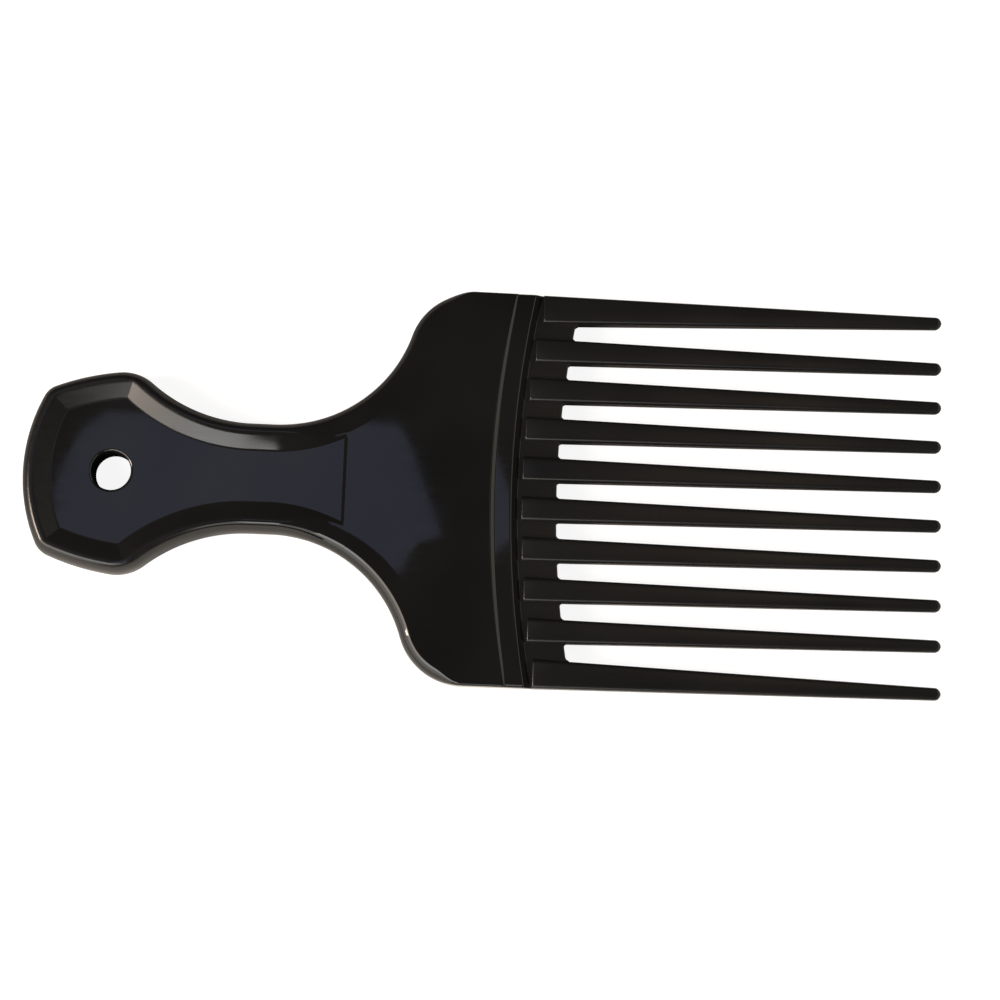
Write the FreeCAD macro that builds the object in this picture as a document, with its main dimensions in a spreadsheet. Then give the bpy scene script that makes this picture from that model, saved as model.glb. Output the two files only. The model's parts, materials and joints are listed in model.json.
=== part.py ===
import FreeCAD, Part
import math
import os

import Sketcher

# An afro pick of moulded plastic, divided along the lines that show on the moulding.
# Lengths are in millimetres. "At" and "from" lengths run along the pick, from the handle's end to the tips.
# Every piece is drawn about the mid-plane of the pick and is alike on its front and its back.
SIZES = {
    # Outline of the handle
    "end_bow_radius": 32.0,
    "end_corner_radius": 4.0,
    "flank_radius": 45.0,
    "flank_crown_at": 22.3,
    "flank_crown_width": 38.1,
    "hip_radius": 8.0,
    "neck_at": 43.5,
    "neck_straight_length": 4.0,
    "neck_width": 20.3,
    "neck_rear_radius": 29.5,
    "neck_front_radius": 25.8,
    "crease_from_neck": 15.9,
    # Rim, sunk panel and hanging hole of the handle
    "rim_thickness": 8.8,
    "rim_width": 2.3,
    "rim_fade_length": 13.2,
    "wall_width": 3.0,
    "panel_step": 0.25,
    "edge_radius": 1.5,
    "hole_at": 16.3,
    "hole_diameter": 7.1,
    "hole_edge_radius": 0.5,
    # Head plate
    "plate_thickness": 6.8,
    "head_length": 27.2,
    "head_width": 73.5,
    "shoulder_radius": 12.1,
    "head_end_thickness": 5.4,
    "lip_radius": 0.25,
    # Tooth bar: a band, a slope down from it, and a thin web
    "arc_radius": 200.0,
    "bar_length": 11.4,
    "band_width": 2.9,
    "band_thickness": 4.8,
    "band_slope_length": 1.3,
    "web_thickness": 2.6,
    "bar_edge_radius": 1.0,
    # Teeth
    "rib_from_band": 2.0,
    "tooth_length": 72.0,
    "tooth_root_width": 4.52,
    "outer_root_width": 5.35,
    "tooth_tip_width": 2.3,
    "tip_span": 72.3,
    "tooth_root_thickness": 4.2,
    "tooth_tip_thickness": 2.0,
    "tooth_edge_radius": 0.75,
    # How far a cut runs past what it cuts
    "overrun": 2.0,
}

TOOTH_COUNT = 10

# Places along the pick, and sizes that follow from others
CREASE_AT = "(sizes.neck_at + sizes.crease_from_neck)"
BAND_AT = f"({CREASE_AT} + sizes.head_length)"
ROOT_AT = f"({BAND_AT} + sizes.bar_length)"
TIP_AT = f"({ROOT_AT} + sizes.tooth_length)"
RIM_FADE_AT = f"({CREASE_AT} - sizes.rim_fade_length)"
ARC_CENTRE_AT = f"({BAND_AT} + sizes.arc_radius)"
RIB_ARC_RADIUS = "(sizes.arc_radius - sizes.band_width - sizes.rib_from_band)"
ROOT_ARC_RADIUS = "(sizes.arc_radius - sizes.bar_length)"
INNER_TEETH_WIDTH = f"({TOOTH_COUNT - 2} * sizes.tooth_root_width)"
SLOTS_WIDTH = f"(sizes.head_width - {INNER_TEETH_WIDTH} - 2 * sizes.outer_root_width)"
SLOT_WIDTH = f"({SLOTS_WIDTH} / {TOOTH_COUNT - 1})"
OUTER_MIDDLE_SPAN = "(sizes.head_width - sizes.outer_root_width)"
ZERO = "0"

# How sketches number their axes and the points of a curve; their origin starts the X axis
X_AXIS_INDEX, Y_AXIS_INDEX = -1, -2
START_INDEX, END_INDEX, CENTRE_INDEX = 1, 2, 3
ORIGIN = (X_AXIS_INDEX, START_INDEX)
UPWARDS = FreeCAD.Vector(0, 0, 1)
# How far a cosine may stray from that of an upright face or edge, or of a smooth join
UPRIGHT_SHARE = 0.02

doc = FreeCAD.newDocument("afro_pick")
sheet = doc.addObject("Spreadsheet::Sheet", "sizes")
for row, (size_name, size_value) in enumerate(SIZES.items(), start=1):
    sheet.set(f"A{row}", size_name)
    sheet.set(f"B{row}", str(size_value))
    sheet.setAlias(f"B{row}", size_name)
doc.recompute()


def value(expression):
    """Work out an expression of the sheet's sizes as a plain number."""
    result = sheet.evalExpression(expression)
    return float(getattr(result, "Value", result))


def half(expression):
    """Half of a size."""
    return f"(({expression}) / 2)"


def sagitta(radius, across):
    """How far an arc about the pick's axis falls back at a distance across from that axis."""
    return f"({radius} - sqrt({radius}^2 - {across}^2))"


def taper(place, first_place, first_size, last_place, last_size):
    """A size at a place, on the straight line through two other places."""
    run = f"({place} - {first_place}) / ({last_place} - {first_place})"
    return f"({first_size} + ({last_size} - {first_size}) * {run})"


def add_body(name):
    """Start a piece that is drawn from the handle's end and about the mid-plane."""
    body = doc.addObject("PartDesign::Body", name)
    body.Label = name
    body.setExpression("Placement.Base.x", f"-{half(TIP_AT)}")
    body.setExpression("Placement.Base.z", half("sizes.rim_thickness"))
    return body


def origin_plane(body, role):
    """One of the body's own three planes."""
    return next(part for part in body.Origin.OriginFeatures if part.Role == role)


def add_sketch(body, name, role, height=None):
    """Start a sketch on one of the body's own planes, raised to a height where one is given."""
    sketch = body.newObject("Sketcher::SketchObject", name)
    sketch.AttachmentSupport = [(origin_plane(body, role), "")]
    sketch.MapMode = "FlatFace"
    if height is not None:
        sketch.setExpression("AttachmentOffset.Base.z", height)
    return sketch


def measure(sketch, expression, kind, *places):
    """Add a size to a sketch and tie it to the sheet."""
    index = sketch.addConstraint(Sketcher.Constraint(kind, *places, value(expression)))
    sketch.setExpression(f"Constraints[{index}]", expression)


def pin(sketch, curve, point, along, across):
    """Hold a point of a curve at given distances from the origin, or leave one free with None."""
    for kind, axis, expression in (("DistanceX", Y_AXIS_INDEX, along), ("DistanceY", X_AXIS_INDEX, across)):
        if expression is None:
            continue
        if expression == ZERO:
            sketch.addConstraint(Sketcher.Constraint("PointOnObject", curve, point, axis))
        elif value(expression) > 0:
            measure(sketch, expression, kind, *ORIGIN, curve, point)
        else:
            measure(sketch, f"-({expression})", kind, curve, point, *ORIGIN)


def add_line(sketch, start, end, construction=False):
    """Draw a straight run."""
    line = Part.LineSegment(FreeCAD.Vector(*start), FreeCAD.Vector(*end))
    return sketch.addGeometry(line, construction)


def add_arc(sketch, centre, start, end):
    """Draw the shorter arc between two points, and say which of its own ends is which."""
    first = math.atan2(start[1] - centre[1], start[0] - centre[0])
    last = math.atan2(end[1] - centre[1], end[0] - centre[0])
    turn = math.remainder(last - first, math.tau)
    if turn < 0:
        first = last
    circle = Part.Circle(FreeCAD.Vector(*centre), UPWARDS, math.dist(centre, start))
    curve = sketch.addGeometry(Part.ArcOfCircle(circle, first, first + abs(turn)), False)
    return (curve, START_INDEX, END_INDEX) if turn > 0 else (curve, END_INDEX, START_INDEX)


def draw_loop(sketch, corners, held, curves, smooth=()):
    """Draw a closed outline whose curve i runs from corner i to the next corner.

    corners gives where the corners are, held the sizes that hold them, curves an arc or None for
    a straight run, and smooth the numbers of the corners where two curves join without an angle.
    """
    count = len(corners)
    drawn = []
    for index, curve in enumerate(curves):
        start, end = corners[index], corners[(index + 1) % count]
        if curve is None:
            drawn.append((add_line(sketch, start, end), START_INDEX, END_INDEX))
        else:
            drawn.append(add_arc(sketch, curve["centre"], start, end))
    for index in range(count):
        before, _, before_end = drawn[index - 1]
        after, after_start, _ = drawn[index]
        join = "Tangent" if index in smooth else "Coincident"
        sketch.addConstraint(Sketcher.Constraint(join, before, before_end, after, after_start))
    for (curve, start, _), (along, across) in zip(drawn, held):
        pin(sketch, curve, start, along, across)
    for (curve, _, _), shape in zip(drawn, curves):
        if shape is not None:
            pin(sketch, curve, CENTRE_INDEX, *shape["held"])
            if shape["radius"] is not None:
                measure(sketch, shape["radius"], "Radius", curve)
    return drawn


def draw_polygon(sketch, corners):
    """Draw a closed outline of straight runs with every corner held."""
    places = [(value(along), value(across)) for along, across in corners]
    return draw_loop(sketch, places, corners, [None] * len(corners))


def draw_rectangle(sketch, start, end, half_width):
    """Draw a rectangle about the pick's axis."""
    corners = [(start, half_width), (end, half_width), (end, f"-{half_width}"), (start, f"-{half_width}")]
    draw_polygon(sketch, corners)


def arc_about(centre, held=(None, None), radius=None):
    """An arc, with the sizes that hold its centre and its radius where the curves it meets don't."""
    return {"centre": centre, "held": held, "radius": radius}


def held_arc(along, across, radius):
    """An arc whose centre and radius are both given."""
    return arc_about((value(along), value(across)), (along, across), radius)


def meet(first, second, near):
    """The crossing of two arcs that lies nearer to a point."""
    (x1, y1), r1 = first["centre"], value(first["radius"])
    (x2, y2), r2 = second["centre"], value(second["radius"])
    apart = math.dist((x1, y1), (x2, y2))
    reach = (apart**2 + r1**2 - r2**2) / (2 * apart)
    rise = math.sqrt(r1**2 - reach**2)
    ex, ey = (x2 - x1) / apart, (y2 - y1) / apart
    foot = (x1 + reach * ex, y1 + reach * ey)
    options = [(foot[0] - sign * rise * ey, foot[1] + sign * rise * ex) for sign in (1, -1)]
    return min(options, key=lambda point: math.dist(point, near))


def neck_front_arc(side, inset=ZERO):
    """The concave arc that leads from the neck to a shoulder, drawn inset from the outline."""
    along = "(sizes.neck_at + sizes.neck_straight_length / 2)"
    across = f"{side} * (sizes.neck_width / 2 + sizes.neck_front_radius)"
    return held_arc(along, across, f"(sizes.neck_front_radius + {inset})")


def arc_point(arc, side, along):
    """The point of a concave neck arc, nearest to the pick's axis, at a place along the pick."""
    (centre_x, centre_y), radius = arc["centre"], value(arc["radius"])
    x = value(along)
    return (x, centre_y - side * math.sqrt(radius**2 - (x - centre_x) ** 2))


def draw_handle(sketch, inset=ZERO):
    """Draw the handle's outline, inset by a width, running on past the crease."""
    reach = f"({CREASE_AT} + sizes.overrun)"
    rear_at = "(sizes.neck_at - sizes.neck_straight_length / 2)"
    front_at = "(sizes.neck_at + sizes.neck_straight_length / 2)"
    bow = held_arc("sizes.end_bow_radius", ZERO, f"(sizes.end_bow_radius - {inset})")
    crown = (value("sizes.flank_crown_at"), value(half("sizes.flank_crown_width")))
    corners, held, curves = [], [], []
    for side in (1, -1):
        flank = held_arc(
            "sizes.flank_crown_at",
            f"{side} * (sizes.flank_crown_width / 2 - sizes.flank_radius)",
            f"(sizes.flank_radius - {inset})",
        )
        rear = held_arc(
            rear_at,
            f"{side} * (sizes.neck_width / 2 + sizes.neck_rear_radius)",
            f"(sizes.neck_rear_radius + {inset})",
        )
        front = neck_front_arc(side, inset)
        end_corner = meet(bow, flank, (0, side * crown[1]))
        hip = meet(flank, rear, (crown[0], side * crown[1]))
        neck = ((rear, rear_at), (front, front_at), (front, reach))
        places = [end_corner, hip] + [arc_point(arc, side, place) for arc, place in neck]
        holds = [(None, None), (None, None)] + [(place, None) for _, place in neck]
        runs = [flank, rear, None, front]
        if side > 0:
            corners, held, curves = places, holds, runs + [None]
        else:
            corners += places[::-1]
            held += holds[::-1]
            curves += runs[::-1] + [bow]
    draw_loop(sketch, corners, held, curves)


def draw_head(sketch):
    """Draw the head plate's outline, running on past the crease towards the handle."""
    start = f"({CREASE_AT} - sizes.overrun)"
    half_width = half("sizes.head_width")
    shoulder_radius = value("sizes.shoulder_radius")
    end = held_arc(ARC_CENTRE_AT, ZERO, "sizes.arc_radius")
    end_at = f"({BAND_AT} + {sagitta('sizes.arc_radius', half_width)})"
    corners, held, curves = [], [], []
    for side in (1, -1):
        front = neck_front_arc(side)
        centre_y = side * (value(half_width) - shoulder_radius)
        reach = value("sizes.neck_front_radius") + shoulder_radius
        centre_x = front["centre"][0] + math.sqrt(reach**2 - (front["centre"][1] - centre_y) ** 2)
        shoulder = arc_about((centre_x, centre_y), radius="sizes.shoulder_radius")
        touch_share = value("sizes.neck_front_radius") / reach
        centres = zip(front["centre"], shoulder["centre"])
        touch = [near + touch_share * (far - near) for near, far in centres]
        places = [
            arc_point(front, side, start),
            tuple(touch),
            (centre_x, side * value(half_width)),
            (value(end_at), side * value(half_width)),
        ]
        edge = (None, f"{side} * {half_width}")
        holds = [(start, None), (None, None), edge, edge]
        runs = [front, shoulder, None]
        if side > 0:
            corners, held, curves = places, holds, runs + [end]
        else:
            corners += places[::-1]
            held += holds[::-1]
            curves += runs[::-1] + [None]
    draw_loop(sketch, corners, held, curves, smooth=(1, 2, 5, 6))


def draw_tooth(sketch, start, lower, upper, tip_across):
    """Draw a tooth from its rib's square start to its round tip."""
    tip_radius = half("sizes.tooth_tip_width")
    centre_along = f"({TIP_AT} - {tip_radius})"
    tip = held_arc(centre_along, tip_across, tip_radius)
    (centre_x, centre_y), radius = tip["centre"], value(tip_radius)
    corners = [
        (value(start), value(lower)),
        (centre_x, centre_y - radius),
        (centre_x, centre_y + radius),
        (value(start), value(upper)),
    ]
    held = [(start, lower), (None, None), (None, None), (start, upper)]
    draw_loop(sketch, corners, held, [None, tip, None, None], smooth=(1, 2))


def pad_profile(body, name, draw_side, width):
    """Extrude a side profile evenly to both sides of the pick's axis."""
    sketch = add_sketch(body, f"{name}_profile", "XZ_Plane")
    draw_side(sketch)
    pad = body.newObject("PartDesign::Pad", f"{name}_slab")
    pad.Profile = sketch
    pad.SideType = "Symmetric"
    pad.setExpression("Length", width)
    return pad


def trim(body, name, draw_outline, start, end, half_width):
    """Cut away all that lies outside an outline, within a rectangle that encloses the slab."""
    sketch = add_sketch(body, f"{name}_outline", "XY_Plane")
    draw_rectangle(sketch, start, end, half_width)
    draw_outline(sketch)
    return cut_through(body, f"{name}_trim", sketch)


def cut_through(body, name, sketch):
    """Cut a sketch's area right through the body, to both sides."""
    pocket = body.newObject("PartDesign::Pocket", name)
    pocket.Profile = sketch
    pocket.Type = "ThroughAll"
    pocket.SideType = "Symmetric"
    return pocket


def round_edges(body, name, base, wanted, radius):
    """Round the edges of a feature that a test of its shape and an edge picks out."""
    doc.recompute()
    shape = base.Shape
    edges = enumerate(shape.Edges, start=1)
    names = [f"Edge{number}" for number, edge in edges if wanted(shape, edge)]
    fillet = body.newObject("PartDesign::Fillet", name)
    fillet.Base = (base, names)
    fillet.setExpression("Radius", radius)
    return fillet


def middle(edge):
    """The middle of an edge, and the edge's direction there."""
    parameter = (edge.FirstParameter + edge.LastParameter) / 2
    return edge.valueAt(parameter), edge.tangentAt(parameter)


def is_upright(edge):
    """Whether an edge runs straight up."""
    return abs(middle(edge)[1].z) > 1 - UPRIGHT_SHARE


def normals(shape, edge):
    """The outward directions, at an edge's middle, of the two faces that meet there."""
    point = middle(edge)[0]
    faces = shape.ancestorsOfType(edge, Part.Face)
    return [face.normalAt(*face.Surface.parameter(point)) for face in faces]


def is_corner(shape, edge):
    """Whether an edge runs straight up where two walls meet at an angle."""
    if not is_upright(edge):
        return False
    first, last = normals(shape, edge)
    return first.dot(last) < 1 - UPRIGHT_SHARE


def borders_wall(shape, edge):
    """Whether an edge parts an upright wall from a front or back face."""
    if is_upright(edge):
        return False
    tilts = sorted(abs(normal.z) for normal in normals(shape, edge))
    return tilts[0] < UPRIGHT_SHARE < tilts[-1]


def make_handle():
    """The grip: a raised rim round a sunk panel, a waisted neck and a hanging hole."""
    body = add_body("handle")
    rim = half("sizes.rim_thickness")
    plate = half("sizes.plate_thickness")
    panel = f"({plate} - sizes.panel_step)"
    side_reach = f"({half('sizes.flank_crown_width')} + sizes.overrun)"
    fall = f"({rim} - {plate})"
    fade_radius = f"((sizes.rim_fade_length^2 + {fall}^2) / (4 * {fall}))"

    def draw_side(sketch):
        """The rim's level, its fall to the plate's level in two arcs, and the crease."""
        corners, held, curves = [], [], []
        fade_middle_at = f"({CREASE_AT} - sizes.rim_fade_length / 2)"
        for side in (1, -1):
            places = [
                (-value("sizes.overrun"), side * value(rim)),
                (value(RIM_FADE_AT), side * value(rim)),
                (value(fade_middle_at), side * value(half(f"{rim} + {plate}"))),
                (value(CREASE_AT), side * value(plate)),
            ]
            holds = [
                ("-sizes.overrun", f"{side} * {rim}"),
                (RIM_FADE_AT, f"{side} * {rim}"),
                (None, None),
                (CREASE_AT, f"{side} * {plate}"),
            ]
            high_centre = (value(RIM_FADE_AT), side * value(f"{rim} - {fade_radius}"))
            low_centre = (value(CREASE_AT), side * value(f"{plate} + {fade_radius}"))
            runs = [
                None,
                arc_about(high_centre, (RIM_FADE_AT, None), fade_radius),
                arc_about(low_centre, (CREASE_AT, None)),
            ]
            if side > 0:
                corners, held, curves = places, holds, runs + [None]
            else:
                corners += places[::-1]
                held += holds[::-1]
                curves += runs[::-1] + [None]
        draw_loop(sketch, corners, held, curves, smooth=(2, 5))

    pad_profile(body, "handle", draw_side, f"2 * {side_reach}")
    end = f"({CREASE_AT} + 2 * sizes.overrun)"
    clear = f"({side_reach} + sizes.overrun)"
    trimmed = trim(body, "handle", draw_handle, "-2 * sizes.overrun", end, clear)

    flank_middle_at = value(half("sizes.flank_crown_at"))

    def is_end_corner(shape, edge):
        """Whether an edge is a corner between the bowed end and a flank."""
        return is_corner(shape, edge) and middle(edge)[0].x < flank_middle_at

    def is_hip(shape, edge):
        """Whether an edge is a corner between a flank and the neck."""
        between = flank_middle_at < middle(edge)[0].x < value("sizes.neck_at")
        return between and is_corner(shape, edge)

    def is_outer(shape, edge):
        """Whether an edge follows the outline, and not the crease."""
        at_crease = math.isclose(middle(edge)[0].x, value(CREASE_AT))
        return not at_crease and borders_wall(shape, edge)

    ended = round_edges(body, "end_corner_rounds", trimmed, is_end_corner, "sizes.end_corner_radius")
    shaped = round_edges(body, "hip_rounds", ended, is_hip, "sizes.hip_radius")
    round_edges(body, "rim_rounds", shaped, is_outer, "sizes.edge_radius")

    floor = add_sketch(body, "panel_floor", "XY_Plane", panel)
    draw_handle(floor, "(sizes.rim_width + sizes.wall_width)")
    brim = add_sketch(body, "panel_brim", "XY_Plane", rim)
    draw_handle(brim, "sizes.rim_width")
    recess = body.newObject("PartDesign::SubtractiveLoft", "panel_front")
    recess.Profile = floor
    recess.Sections = [brim]
    recess.Ruled = True
    doc.recompute()
    both = body.newObject("PartDesign::Mirrored", "panel_back")
    both.Originals = [recess]
    both.MirrorPlane = (origin_plane(body, "XY_Plane"), [""])
    body.Tip = both

    circle = add_sketch(body, "hanging_hole_circle", "XY_Plane")
    centre = FreeCAD.Vector(value("sizes.hole_at"), 0, 0)
    hole_radius = half("sizes.hole_diameter")
    round_hole = Part.Circle(centre, UPWARDS, value(hole_radius))
    curve = circle.addGeometry(round_hole, False)
    pin(circle, curve, CENTRE_INDEX, "sizes.hole_at", ZERO)
    measure(circle, "sizes.hole_diameter", "Diameter", curve)
    hole = cut_through(body, "hanging_hole", circle)

    def is_mouth(shape, edge):
        """Whether an edge is one of the hole's two mouths."""
        is_circle = edge.Curve.TypeId == "Part::GeomCircle"
        return is_circle and math.isclose(edge.Curve.Radius, value(hole_radius))

    round_edges(body, "hanging_hole_rounds", hole, is_mouth, "sizes.hole_edge_radius")
    return body


def make_head_plate():
    """The plate that flares from the neck to the tooth row and thins towards it."""
    body = add_body("head_plate")
    thick = half("sizes.plate_thickness")
    half_width = half("sizes.head_width")
    end_at = f"({BAND_AT} + {sagitta('sizes.arc_radius', half_width)} + sizes.overrun)"
    thin = taper(end_at, CREASE_AT, thick, BAND_AT, half("sizes.head_end_thickness"))
    side_reach = f"({half_width} + sizes.overrun)"

    def draw_side(sketch):
        """The wedge from the crease to past the arc."""
        corners = [(CREASE_AT, thick), (end_at, thin), (end_at, f"-{thin}"), (CREASE_AT, f"-{thick}")]
        draw_polygon(sketch, corners)

    pad_profile(body, "head_plate", draw_side, f"2 * {side_reach}")
    start = f"({CREASE_AT} - 2 * sizes.overrun)"
    clear = f"({side_reach} + sizes.overrun)"
    trimmed = trim(body, "head_plate", draw_head, start, f"({end_at} + sizes.overrun)", clear)

    def is_outer(shape, edge):
        """Whether an edge follows the outline on one side of the pick's axis."""
        same_side = edge.Vertexes[0].Y * edge.Vertexes[-1].Y > 0
        return same_side and borders_wall(shape, edge)

    def is_lip(shape, edge):
        """Whether an edge runs along the arc, across the pick's axis."""
        crosses_axis = edge.Vertexes[0].Y * edge.Vertexes[-1].Y < 0
        far_end = middle(edge)[0].x > value(f"{CREASE_AT} + sizes.head_length / 2")
        return crosses_axis and far_end and borders_wall(shape, edge)

    rounded = round_edges(body, "head_plate_rounds", trimmed, is_outer, "sizes.edge_radius")
    round_edges(body, "head_plate_lip", rounded, is_lip, "sizes.lip_radius")
    return body


def rib_start(middle_across):
    """Where a tooth's rib starts: on an arc of the bar, at its middle's distance from the axis."""
    fall_back = sagitta(RIB_ARC_RADIUS, middle_across)
    return f"({BAND_AT} + sizes.band_width + sizes.rib_from_band + {fall_back})"


def make_bar_block():
    """The curved bar, band, slope and web turned about one centre, before it takes the teeth."""
    body = add_body("bar_block")
    sketch = add_sketch(body, "bar_profile", "XZ_Plane")
    band, web = half("sizes.band_thickness"), half("sizes.web_thickness")
    band_end = f"({BAND_AT} + sizes.band_width)"
    slope_end = f"({band_end} + sizes.band_slope_length)"
    upper = [(BAND_AT, band), (band_end, band), (slope_end, web), (ROOT_AT, web)]
    lower = [(along, f"-{across}") for along, across in reversed(upper)]
    draw_polygon(sketch, upper + lower)
    top = (value(ARC_CENTRE_AT), value("sizes.overrun"))
    axis = add_line(sketch, (value(ARC_CENTRE_AT), 0), top, construction=True)
    pin(sketch, axis, START_INDEX, ARC_CENTRE_AT, ZERO)
    pin(sketch, axis, END_INDEX, ARC_CENTRE_AT, "sizes.overrun")
    turned = body.newObject("PartDesign::Revolution", "bar_sweep")
    turned.Profile = sketch
    turned.ReferenceAxis = (sketch, ["Axis0"])
    turned.Midplane = True
    half_reach = "(sizes.head_width / 2 + sizes.overrun)"
    turned.setExpression("Angle", f"2 * asin({half_reach} / {ROOT_ARC_RADIUS})")

    sides = add_sketch(body, "bar_sides", "XY_Plane")
    start = f"({BAND_AT} - sizes.overrun)"
    end = f"({ROOT_AT} + {sagitta(ROOT_ARC_RADIUS, half_reach)} + sizes.overrun)"
    outer_rib_at = rib_start(half(OUTER_MIDDLE_SPAN))
    edge, seat = half("sizes.head_width"), half(OUTER_MIDDLE_SPAN)
    clear = f"({half_reach} + 2 * sizes.overrun)"
    corners = [(start, edge), (outer_rib_at, edge), (outer_rib_at, seat)]
    corners += [(end, seat), (end, clear), (start, clear)]
    for side in (1, -1):
        draw_polygon(sides, [(along, f"{side} * {across}") for along, across in corners])
    trimmed = cut_through(body, "bar_side_trim", sides)

    def is_outer(shape, edge):
        """Whether an edge follows one of the bar's two ends."""
        on_side = math.isclose(abs(middle(edge)[0].y), value(half("sizes.head_width")))
        return on_side and borders_wall(shape, edge)

    round_edges(body, "bar_rounds", trimmed, is_outer, "sizes.bar_edge_radius")
    return body


def make_tooth(number):
    """One tooth: a rib let into the web, a taper in width and thickness, and a round tip."""
    body = add_body(f"tooth_{number:02d}")
    pitch = f"(sizes.tooth_root_width + {SLOT_WIDTH})"
    if number in (1, TOOTH_COUNT):
        side = 1 if number == TOOTH_COUNT else -1
        place = f"{side} * {half('sizes.head_width')}"
        middle_across = half(OUTER_MIDDLE_SPAN)
        outer_edge, inner_edge = ZERO, f"{-side} * sizes.outer_root_width"
        lower, upper = (inner_edge, outer_edge) if side > 0 else (outer_edge, inner_edge)
        tip_inset = half("sizes.head_width - sizes.tip_span + sizes.tooth_tip_width")
        tip_across = f"{-side} * {tip_inset}"
    else:
        place = f"{number - (TOOTH_COUNT + 1) / 2} * {pitch}"
        middle_across = f"({place})"
        lower, upper = f"-{half('sizes.tooth_root_width')}", half("sizes.tooth_root_width")
        tip_across = ZERO
    body.setExpression("Placement.Base.y", place)
    rib_at = rib_start(middle_across)
    far = f"({TIP_AT} + sizes.overrun)"
    thick = half("sizes.tooth_root_thickness")
    thin = taper(far, rib_at, thick, TIP_AT, half("sizes.tooth_tip_thickness"))
    reach = "(sizes.outer_root_width + sizes.tooth_root_width + sizes.overrun)"

    def draw_side(sketch):
        """The wedge from the rib's start to past the tip."""
        corners = [(rib_at, thick), (far, thin), (far, f"-{thin}"), (rib_at, f"-{thick}")]
        draw_polygon(sketch, corners)

    def draw_outline(sketch):
        """This tooth's own outline."""
        draw_tooth(sketch, rib_at, lower, upper, tip_across)

    pad_profile(body, body.Name, draw_side, f"2 * {reach}")
    start, end = f"({rib_at} - sizes.overrun)", f"({far} + sizes.overrun)"
    trimmed = trim(body, body.Name, draw_outline, start, end, f"({reach} + sizes.overrun)")
    round_edges(body, f"{body.Name}_rounds", trimmed, borders_wall, "sizes.tooth_edge_radius")
    return body


def make_tooth_bar(block, teeth):
    """The bar with a slot for each tooth's rib, cut to the teeth themselves so that they fill it."""
    row = doc.addObject("Part::Compound", "tooth_row")
    row.Links = teeth
    bar = doc.addObject("Part::Cut", "tooth_bar")
    bar.Base = block
    bar.Tool = row
    bar.Label = "tooth_bar"
    return bar


handle = make_handle()
head_plate = make_head_plate()
teeth = [make_tooth(number) for number in range(1, TOOTH_COUNT + 1)]
tooth_bar = make_tooth_bar(make_bar_block(), teeth)
doc.recompute()

faults = [part.Label for part in doc.Objects if {"Invalid", "Error"} & set(part.State)]
pieces = [handle, head_plate, tooth_bar] + teeth
for piece in pieces:
    shape = piece.Shape
    if shape.isNull() or not shape.isValid() or len(shape.Solids) != 1:
        faults.append(piece.Label)
if faults:
    raise RuntimeError(f"these did not build: {faults}")

os.makedirs("parts", exist_ok=True)
for piece in pieces:
    piece.Shape.exportStep(f"parts/{piece.Label}.step")
    box = piece.Shape.optimalBoundingBox()
    print(f"{piece.Label}: {box.XLength:.2f} x {box.YLength:.2f} x {box.ZLength:.2f} mm,"
          f" {piece.Shape.Volume:.1f} mm3")
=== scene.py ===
# %% [markdown]
# # An afro pick in glossy black plastic
# The pick is one plastic moulding that lies on a table. The packed model holds its solids at their real
# size, so this lesson gives them their looks: surfaces smooth enough to carry clean reflections, a black
# plastic, a table, soft light and a camera. The frame is loaded first, because every piece is placed in
# it.

# %% Load the frame
import json
import math
from collections import namedtuple

import bmesh
import bpy
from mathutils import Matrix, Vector

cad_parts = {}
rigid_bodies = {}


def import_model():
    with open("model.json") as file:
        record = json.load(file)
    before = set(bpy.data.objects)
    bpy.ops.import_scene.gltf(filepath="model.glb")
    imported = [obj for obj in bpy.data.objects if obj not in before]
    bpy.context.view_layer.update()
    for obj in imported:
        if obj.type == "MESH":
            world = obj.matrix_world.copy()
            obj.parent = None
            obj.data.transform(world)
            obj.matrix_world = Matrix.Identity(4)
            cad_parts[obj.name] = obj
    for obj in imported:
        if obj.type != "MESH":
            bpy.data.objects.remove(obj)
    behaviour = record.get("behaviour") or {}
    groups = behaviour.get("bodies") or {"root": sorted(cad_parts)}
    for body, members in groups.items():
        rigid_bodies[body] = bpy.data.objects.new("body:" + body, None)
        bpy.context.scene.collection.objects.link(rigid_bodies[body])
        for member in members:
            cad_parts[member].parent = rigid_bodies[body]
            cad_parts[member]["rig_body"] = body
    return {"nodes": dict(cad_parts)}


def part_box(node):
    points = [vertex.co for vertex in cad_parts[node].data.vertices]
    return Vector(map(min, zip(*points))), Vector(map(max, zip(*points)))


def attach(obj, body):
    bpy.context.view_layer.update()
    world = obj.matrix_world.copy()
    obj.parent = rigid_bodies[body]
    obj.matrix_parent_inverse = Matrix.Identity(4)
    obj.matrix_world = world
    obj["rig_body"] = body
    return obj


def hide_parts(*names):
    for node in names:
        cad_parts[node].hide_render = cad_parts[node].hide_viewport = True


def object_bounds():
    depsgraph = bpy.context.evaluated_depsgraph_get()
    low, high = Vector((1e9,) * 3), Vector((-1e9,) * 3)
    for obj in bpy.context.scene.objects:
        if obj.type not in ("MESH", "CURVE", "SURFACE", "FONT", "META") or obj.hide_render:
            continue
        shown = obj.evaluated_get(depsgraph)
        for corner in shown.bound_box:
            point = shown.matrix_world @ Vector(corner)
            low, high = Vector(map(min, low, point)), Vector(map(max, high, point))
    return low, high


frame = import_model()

cad_low, cad_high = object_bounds()
scene = bpy.context.scene
print("nodes:", ", ".join(sorted(frame["nodes"])))
print("box in mm:", [round(1000 * side, 2) for side in cad_high - cad_low])

# %% [markdown]
# ## One way to name a place
# A comb is drawn from its end, along its length, and about its mid-plane, so that is how this lesson
# counts too: millimetres along the pick, across it, and up from the mid-plane. One helper turns such a
# place into the frame's metres. The lengths that the solids already hold are read from the frame and not
# typed again.

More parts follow.
